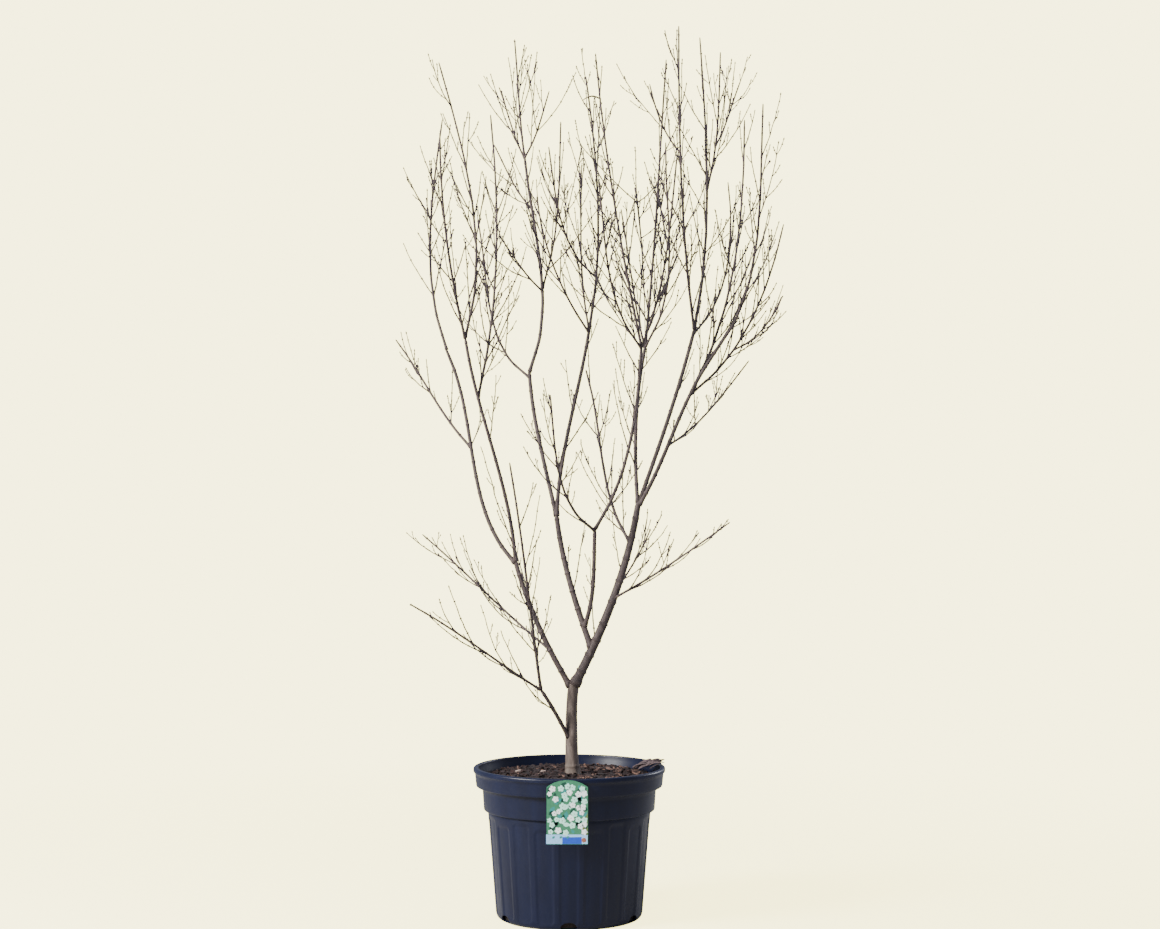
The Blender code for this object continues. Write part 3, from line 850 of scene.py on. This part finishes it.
def panel_recess(angles, heights, low, top):
    """How deep the wall is sunk in its panels, which have round corners and two heights by turns."""
    pitch = math.tau / PANELS
    index = np.floor(angles / pitch + 0.5)
    across = (angles - index * pitch) * PANEL_RADIUS
    half_width = 0.5 * pitch * PANEL_RADIUS - PANEL_RIB
    panel_top = top - PANEL_STEP * (index % 2)
    middle, half_height = (panel_top + low) / 2, (panel_top - low) / 2
    outside_x = np.abs(across) - half_width + PANEL_CORNER
    outside_z = np.abs(heights - middle) - half_height + PANEL_CORNER
    beyond = np.hypot(np.maximum(outside_x, 0), np.maximum(outside_z, 0)) - PANEL_CORNER
    distance = beyond + np.minimum(np.maximum(outside_x, outside_z), 0)
    return PANEL_DEPTH * smooth_step(-distance, 0, PANEL_EDGE)


def make_pot():
    """The pot turned from its section, with sunk panels, then its drain notches cut out."""
    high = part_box("pot")[1]
    profile = pot_profile(high.z, high.x)
    angles = math.tau * np.arange(POT_SIDES) / POT_SIDES
    outside = np.arange(len(profile)) <= np.argmax(profile[:, 1])
    radii = np.broadcast_to(profile[:, :1], (len(profile), POT_SIDES)).copy()
    heights = np.broadcast_to(profile[:, 1:], radii.shape)
    sunk = panel_recess(angles[None] + math.pi / 2, heights, PANEL_FOOT, high.z - PANEL_TOP_DEPTH)
    radii -= np.where(outside[:, None] & (radii > PANELLED_RADIUS), sunk, 0)
    rings = np.stack([radii * np.cos(angles), radii * np.sin(angles), heights], -1).reshape(-1, 3)
    points = np.concatenate([rings, [(0, 0, 0), (0, 0, profile[-1, 1])]])
    triangles = grid_triangles(len(profile), POT_SIDES)
    pot = mesh_piece("pot_moulded", points, triangles, [pot_material()], smooth_angle=50)
    cut_notches(pot)
    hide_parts("pot")


def cut_notches(pot):
    """Arched drain notches round the foot, as in the solid."""
    turns = np.linspace(0, math.pi, NOTCH_STEPS)
    arch = [(NOTCH_HALF * math.cos(turn), NOTCH_STRAIGHT + NOTCH_ARCH * math.sin(turn)) for turn in turns]
    outline = [(-NOTCH_HALF, -NOTCH_BELOW), (NOTCH_HALF, -NOTCH_BELOW)] + arch
    prism, sides = flat_shape(outline, (0, 0), *NOTCH_REACH)
    points, triangles = [], []
    for notch in range(NOTCHES):
        x, y = turned(prism[:, 0], prism[:, 1], math.tau * notch / NOTCHES)
        points.append(np.stack([x, y, prism[:, 2]], -1))
        triangles.append(sides + notch * len(prism))
    cutter = mesh_piece("notch_cutter", np.concatenate(points), np.concatenate(triangles), [])
    modifier = pot.modifiers.new("notches", "BOOLEAN")
    modifier.operation = "DIFFERENCE"
    modifier.object = cutter
    modifier.material_mode = "TRANSFER"
    graph = bpy.context.evaluated_depsgraph_get()
    cut = bpy.data.meshes.new_from_object(pot.evaluated_get(graph))
    pot.modifiers.clear()
    pot.data = cut
    bpy.data.objects.remove(cutter)


def mulch_top(high, share):
    """The height of the crowned mulch, a share of the way out from its middle."""
    return high - SOIL_CROWN * share**CROWN_POWER


def make_soil():
    """The mulch as one plug with a lumpy top."""
    low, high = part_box("soil")
    rng = np.random.default_rng(SEED + 1)
    side = [(0.02, low.z), (0.10, low.z), (0.1363, low.z + 0.001)]
    side += [(0.155, high.z - 0.075), (0.169, high.z - 0.020)]
    radii = np.linspace(SOIL_EDGE, 0.004, SOIL_RINGS)
    profile = np.array(side + [(radius, mulch_top(high.z, radius / SOIL_EDGE)) for radius in radii])
    angles = math.tau * np.arange(SOIL_SIDES) / SOIL_SIDES
    x, y = profile[:, :1] * np.cos(angles), profile[:, :1] * np.sin(angles)
    z = np.broadcast_to(profile[:, 1:], x.shape).copy()
    lumps = np.zeros_like(x)
    for _ in range(LUMPS):
        heading, wave = rng.uniform(0, math.tau), math.tau / rng.uniform(0.007, 0.030)
        across = x * math.cos(heading) + y * math.sin(heading)
        lumps += np.cos(wave * across + rng.uniform(0, math.tau))
    on_top = (np.arange(len(profile)) >= len(side))[:, None]
    z += np.where(on_top, LUMP_HEIGHT * lumps / math.sqrt(LUMPS / 2), 0)
    rings = np.stack([x, y, z], -1).reshape(-1, 3)
    points = np.concatenate([rings, [(0, 0, low.z), (0, 0, high.z)]])
    triangles = grid_triangles(len(profile), SOIL_SIDES)
    obj = mesh_piece("mulch_bed", points, triangles, [chip_material("dark_mulch")])
    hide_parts("soil")


def chip_shape(rng, foot, length, width, thick, heading, tilt, curl):
    """A torn flake of bark: a thin bent plate with ragged ends."""
    rows, columns = 5, 3
    share = np.linspace(-0.5, 0.5, rows)
    side = np.linspace(-0.5, 0.5, columns)
    ragged = 1 - 0.45 * np.abs(share * 2) ** 3 + rng.uniform(-0.14, 0.14, rows)
    flat = np.zeros((2, rows, columns, 3))
    flat[..., 0] = (share * length)[None, :, None]
    flat[..., 1] = side[None, None] * width * ragged[None, :, None]
    bend = curl * length * (share**2)[None, :, None] + curl * width * (side**2)[None, None]
    layers = np.array([-0.5, 0.5])[:, None, None] * thick
    flat[..., 2] = layers - bend + rng.uniform(-0.12, 0.12, (1, rows, columns)) * thick
    along, across, up = flat.reshape(-1, 3).T
    x, z = turned(along, up, tilt)
    x, y = turned(x, across, heading)
    return np.stack([x, y, z], -1) + foot, plate_triangles(rows, columns)


def plate_triangles(rows, columns):
    """Triangles of a closed plate with two layers of rows by columns points."""
    grid, layer = point_grid(rows, columns), rows * columns
    corners = grid[:-1, :-1], grid[:-1, 1:], grid[1:, :-1], grid[1:, 1:]
    a, b, c, d = (corner.ravel() for corner in corners)
    over = np.concatenate([np.stack([a, d, c], -1), np.stack([a, b, d], -1)])
    rim = np.concatenate([grid[0], grid[1:, -1], grid[-1, -2::-1], grid[-2:0:-1, 0]])
    after = np.roll(rim, -1)
    lower = np.stack([rim, after, after + layer], -1)
    upper = np.stack([rim, after + layer, rim + layer], -1)
    return np.concatenate([over[:, ::-1], over + layer, lower, upper])


def make_chips():
    """Loose bark over the mulch, paler to the right of the trunk, with two pale bits to the left."""
    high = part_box("soil")[1].z
    rng = np.random.default_rng(SEED + 2)
    materials = [chip_material(name) for name in ("chip_dark", "chip_red", "chip_tan", "chip_pale")]
    dark, red, tan, pale = range(len(materials))
    chips = Bundle("bark_chips", "bark_mulch", materials, smooth_angle=50)
    for _ in range(CHIPS):
        reach, turn = CHIP_SPREAD * math.sqrt(rng.random()), rng.uniform(0, math.tau)
        x, y = reach * math.cos(turn), reach * math.sin(turn)
        length = rng.uniform(5, 19) * MM
        if math.hypot(x - TRUNK_PLACE, y) < TRUNK_CLEAR or reach + length / 2 > CHIP_WALL:
            continue
        pick = rng.random()
        tan_share = 0.26 if x > TAN_SIDE else 0.07
        material = tan if pick < tan_share else red if pick < 0.55 else dark
        foot = np.array((x, y, mulch_top(high, reach / CHIP_EDGE) + rng.uniform(0.2, 3.2) * MM))
        width, thick = length * rng.uniform(0.3, 0.7), rng.uniform(0.8, 2.2) * MM
        tilt, curl, heading = rng.normal(0, 0.35), rng.uniform(-0.2, 0.5), rng.uniform(0, math.tau)
        chips.add(*chip_shape(rng, foot, length, width, thick, heading, tilt, curl), material)
    for x, y in PALE_CHIPS:
        foot = np.array((x, y, high + 3 * MM))
        chips.add(*chip_shape(rng, foot, 15 * MM, 8 * MM, 3 * MM, 0.4, 0.25, 0.4), pale)
    chips.flush()


def round_off(obj):
    """Rounds a coarse mesh off by subdivision."""
    rounded = obj.modifiers.new("rounded", "SUBSURF")
    rounded.levels = rounded.render_levels = 2


def make_heap():
    """Curled strips of bark that lean from the mulch over the right rim."""
    low, high = (np.array(corner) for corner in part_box("bark_heap"))
    size, middle = high - low, (low + high) / 2
    rng = np.random.default_rng(SEED + 3)
    materials = [chip_material("strip_mauve"), chip_material("strip_dark")]
    points, triangles, owners, count = [], [], [], 0
    for share in np.linspace(0, 1, HEAP_STRIPS):
        length = rng.uniform(0.42, 0.60) * size[0]
        width, thick = rng.uniform(8, 13) * MM, rng.uniform(1.2, 2.2) * MM
        x = low[0] + length * 0.5 + share * (size[0] - length) * rng.uniform(0.9, 1.0)
        along = (x - low[0]) / size[0]
        y = middle[1] - 0.008 * (along - 0.5) + rng.uniform(-0.34, 0.34) * size[1]
        crest = low[2] + size[2] * (0.62 + 0.32 * along)
        fall = 0.25 * size[2] * ((y - middle[1]) / (0.5 * size[1])) ** 2
        foot = np.array((x, y, crest - fall + rng.uniform(-3, 0) * MM))
        lean = 0.30 + rng.normal(0, 0.10)
        heading, curl = rng.normal(0.1, 0.25), rng.uniform(0.2, 0.5)
        strip = chip_shape(rng, foot, length, width, thick, heading, lean, curl)
        points.append(strip[0])
        triangles.append(strip[1] + count)
        owners.append(np.full(len(strip[1]), int(rng.random() < 0.35)))
        count += len(strip[0])
    points = np.clip(np.concatenate(points), low, high)
    owners, triangles = np.concatenate(owners), np.concatenate(triangles)
    heap = mesh_piece("curled_bark", points, triangles, materials, owners)
    round_off(heap)
    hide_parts("bark_heap")


def blossom_outline(rng, size, petals=5):
    """A simple round blossom of notched petals."""
    turn = rng.uniform(0, math.tau)
    angles = np.linspace(0, math.tau, petals * 7, endpoint=False)
    reach = size * (0.62 + 0.38 * np.abs(np.cos(petals * (angles - turn) / 2)) ** 0.7)
    return [(r * math.cos(a), r * math.sin(a)) for r, a in zip(reach, angles)]


def leaf_outline(size, turn):
    """A pointed leaf, widest before its middle."""
    along = np.linspace(0, 1, 9)
    wide = 0.30 * size * np.sin(math.pi * along**0.8)
    shape = [(size * (s - 0.5), w) for s, w in zip(along, wide)]
    shape += [(size * (s - 0.5), -w) for s, w in zip(along[-2:0:-1], wide[-2:0:-1])]
    return [turned(x, z, turn) for x, z in shape]


def card_outline(half, foot, top):
    """The tag's outline in its own plane: round corners below and an arch above."""
    reach = (half**2 + TAG_RISE**2) / (2 * TAG_RISE)
    spread = math.asin(half / reach)
    turns = np.linspace(spread, -spread, 25)
    arch = [(reach * math.sin(turn), top + reach * (math.cos(turn) - 1)) for turn in turns]
    corner = []
    for turn in np.linspace(0, math.pi / 2, 6):
        x = half - TAG_CORNER + TAG_CORNER * math.sin(turn)
        corner.append((x, foot + TAG_CORNER - TAG_CORNER * math.cos(turn)))
    return [(-x, z) for x, z in corner[::-1]] + corner + arch


class Print:
    """Flat shapes of ink on the front of the card, each kept inside its outline."""

    def __init__(self, card, low, high):
        self.card = card
        self.front, self.foot, self.top = low.y, low.z, high.z
        self.half, self.middle = (high.x - low.x) / 2, (low.x + high.x) / 2

    def shape(self, outline, x, z, ink, layer):
        tall = self.top - TAG_RISE * ((abs(x) + 0.003) / self.half) ** 2 - TAG_TOP_MARGIN
        reach_x, reach_z = np.abs(outline).max(axis=0)
        x = min(max(x, -self.half + reach_x + TAG_MARGIN), self.half - reach_x - TAG_MARGIN)
        z = min(max(z, self.foot + reach_z + TAG_MARGIN), tall - reach_z)
        front, back = self.front + PRINT_INSET - PRINT_LAYER * layer, self.front + PRINT_BACK
        self.card.add(*flat_shape(outline, (self.middle + x, z), front, back), list(INKS).index(ink))

    def band(self, x0, x1, z0, z1, ink, layer):
        wide, tall = (x1 - x0) / 2, (z1 - z0) / 2
        outline = [(-wide, -tall), (wide, -tall), (wide, tall), (-wide, tall)]
        self.shape(outline, (x0 + x1) / 2, (z0 + z1) / 2, ink, layer)


def make_tag():
    """A glossy label with an arched top and a made-up print of small blossoms, leaves and bands."""
    low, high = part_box("tag")
    rng = np.random.default_rng(SEED + 4)
    inks = [plain_print(f"ink_{name}", colour) for name, colour in INKS.items()]
    card = Bundle("label_card", "label_card", inks, smooth_angle=30)
    label = Print(card, low, high)
    half, foot = label.half, low.z
    outline = card_outline(half, foot, high.z)
    card.add(*flat_shape(outline, (label.middle, 0), low.y + CARD_INSET, high.y))
    label.band(-half, half, foot, foot + 0.018, "pale_blue", 0)
    label.band(-half + 0.030, half - 0.012, foot, foot + 0.013, "blue", 1)
    label.band(half - 0.010, half, foot + 0.018, foot + 0.060, "olive", 0)
    for _ in range(PRINT_LEAVES):
        x, z = rng.uniform(-half, half), rng.uniform(foot + 0.020, high.z)
        ink = ("dark_green", "teal", "mint", "dark_green")[int(rng.integers(4))]
        label.shape(leaf_outline(rng.uniform(9, 16) * MM, rng.uniform(0, math.pi)), x, z, ink, 1)
    column_width, row_height = 2 * half / BLOSSOM_COLUMNS, (high.z - foot - 0.026) / BLOSSOM_ROWS
    for row, column in itertools.product(range(BLOSSOM_ROWS), range(BLOSSOM_COLUMNS)):
        x = -half + (column + 0.5 + 0.5 * (row % 2) + rng.uniform(-0.3, 0.3)) * column_width
        z = foot + 0.024 + (row + rng.uniform(-0.25, 0.25)) * row_height
        if rng.random() < BLOSSOM_GAPS:
            continue
        size = rng.uniform(4.6, 7.0) * MM
        petals = blossom_outline(rng, size)
        label.shape(petals, x, z, "white" if rng.random() < 0.6 else "mint", 2 + row % 2)
        label.shape(blossom_outline(rng, 0.9 * MM), x, z, "olive", 5)
    for place in (-0.026, -0.012, 0.001):
        label.shape(leaf_outline(7 * MM, 0.6), place, foot + 0.0135, "teal", 3)
    label.shape(blossom_outline(rng, 5 * MM, 7), half - 0.008, foot + 0.008, "brown", 4)
    card.flush()
    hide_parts("tag")


def make_trunk(rng):
    """The trunk with its bark."""
    trunk = stem_of_node("trunk", 1, 0)
    material = bark_material("trunk_bark", 0.78, 110)
    trunk_piece = mesh_piece("trunk_bark", *trunk_shape(rng, trunk), [material])
    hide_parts("trunk")


def make_tree():
    """The trunk, the limbs and all that grows from them."""
    rng = np.random.default_rng(SEED + 5)
    make_trunk(rng)
    limbs = Bundle("limb_bark", "young_bark", [bark_material("limb_bark")])
    twig_barks = [bark_material(name) for name in ("twig_purple", "twig_brown", "twig_grey")]
    twigs = Bundle("twigs", "young_bark", twig_barks)
    bud_scales = [bark_material(name, 0.6, 600) for name in ("bud_dark", "bud_brown")]
    buds = Bundle("buds", "young_bark", bud_scales)
    tree = Tree(twigs, buds)
    stems = {}
    for name in sorted(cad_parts):
        if name in NOT_LIMBS:
            continue
        stem = stems[name] = stem_of_node(name, BARK_SHARE, BARK_DEPTH)
        places = node_places(tree.rng, stem, 0, tree.rng.uniform(20, 45) * MM)
        limbs.add(*limb_shape(rng, stem, places), node=name)
        tree.grow(stem, places, 0)
        if stem.radii[-1] < SIDE_BUD_RADIUS:
            tree.end_bud(stem, BUD_LENGTH * BUD_SIZES[1])
    for bundle in (limbs, twigs, buds):
        bundle.flush()
    return stems


def make_dry_leaf(stem):
    """One curled leaf that still hangs on an upper shoot."""
    place = np.interp(LEAF_HEIGHT, stem.line[:, 2], stem.at)
    foot = stem.point(place) + LEAF_SHIFT
    rng = np.random.default_rng(SEED + 6)
    points, triangles = chip_shape(rng, foot, 40 * MM, 13 * MM, 0.7 * MM, 0.15, 0.1, 0.9)
    leaf = mesh_piece("dry_leaf", points, triangles, [leaf_material()])
    round_off(leaf)


def floor_material():
    """A pale ground that glows to the camera only and fades out to its rim."""
    material, shader = new_material("floor_pale", 0.9)
    measure = add_node(material, "VectorMath", "Vector", Vector=object_point(material)).node
    measure.operation = "LENGTH"
    ends = {"From_Min": FLOOR_FADE_FROM * FLOOR_RADIUS, "From_Max": FLOOR_RADIUS, "To_Min": 1, "To_Max": 0}
    fade = add_node(material, "MapRange", "Result", Value=measure.outputs["Value"], **ends)
    feed(material, shader, "Base Color", (*FLOOR, 1))
    feed(material, shader, "Emission Color", (*FLOOR_GLOW, 1))
    feed(material, shader, "Emission Strength", add_node(material, "LightPath", "Is Camera Ray"))
    feed(material, shader, "Alpha", fade)
    return material


def make_floor():
    """A round floor that fades into the backdrop."""
    bpy.ops.mesh.primitive_circle_add(vertices=96, radius=FLOOR_RADIUS, fill_type="NGON")
    floor = bpy.context.object
    floor.name = "floor"
    floor.data.materials.append(floor_material())


def make_world():
    """A plain soft sky, with a bright backdrop that only the camera sees."""
    world = bpy.data.worlds.new("studio")
    bpy.context.scene.world = world
    world.use_nodes = True
    world.node_tree.nodes.clear()
    seen = add_node(world, "Background", "Background", Color=(*BACKDROP, 1))
    lit = add_node(world, "Background", "Background", Color=(*AMBIENT, 1))
    to_camera = add_node(world, "LightPath", "Is Camera Ray")
    sky = add_node(world, "MixShader", "Shader", Fac=to_camera, Shader=lit)
    feed(world, sky.node, 2, seen)
    feed(world, world.node_tree.nodes.new("ShaderNodeOutputWorld"), "Surface", sky)


def area_light(name, at, aim, size, energy, colour):
    light = bpy.data.lights.new(name, "AREA")
    light.size = size
    light.energy = energy
    light.color = colour
    obj = bpy.data.objects.new(name, light)
    obj.location = at
    obj.rotation_euler = (Vector(aim) - Vector(at)).to_track_quat("-Z", "Y").to_euler()
    bpy.context.scene.collection.objects.link(obj)


def make_lights():
    area_light("key", (-3.35, -1.95, 2.2), (0, 0, 0.9), 1.3, 500, (1.0, 0.98, 0.95))
    area_light("fill", (-0.3, -2.8, 3.1), (0, 0, 0.4), 1.2, 40, (0.94, 0.95, 1.0))
    area_light("back", (2.4, 2.2, 1.5), (0, 0, 0.5), 1.2, 50, (0.92, 0.94, 1.0))


def make_camera():
    camera = bpy.data.cameras.new("camera")
    camera.lens = CAMERA_LENS
    camera.sensor_width = CAMERA_SENSOR
    obj = bpy.data.objects.new("camera", camera)
    obj.location = CAMERA_AT
    obj.rotation_euler = (math.pi / 2, 0, 0)
    bpy.context.scene.collection.objects.link(obj)
    bpy.context.scene.camera = obj


make_camera()
make_floor()
make_world()
make_lights()
make_pot()
make_soil()
make_chips()
make_heap()
make_tag()
stems = make_tree()
make_dry_leaf(stems["crown_main"])
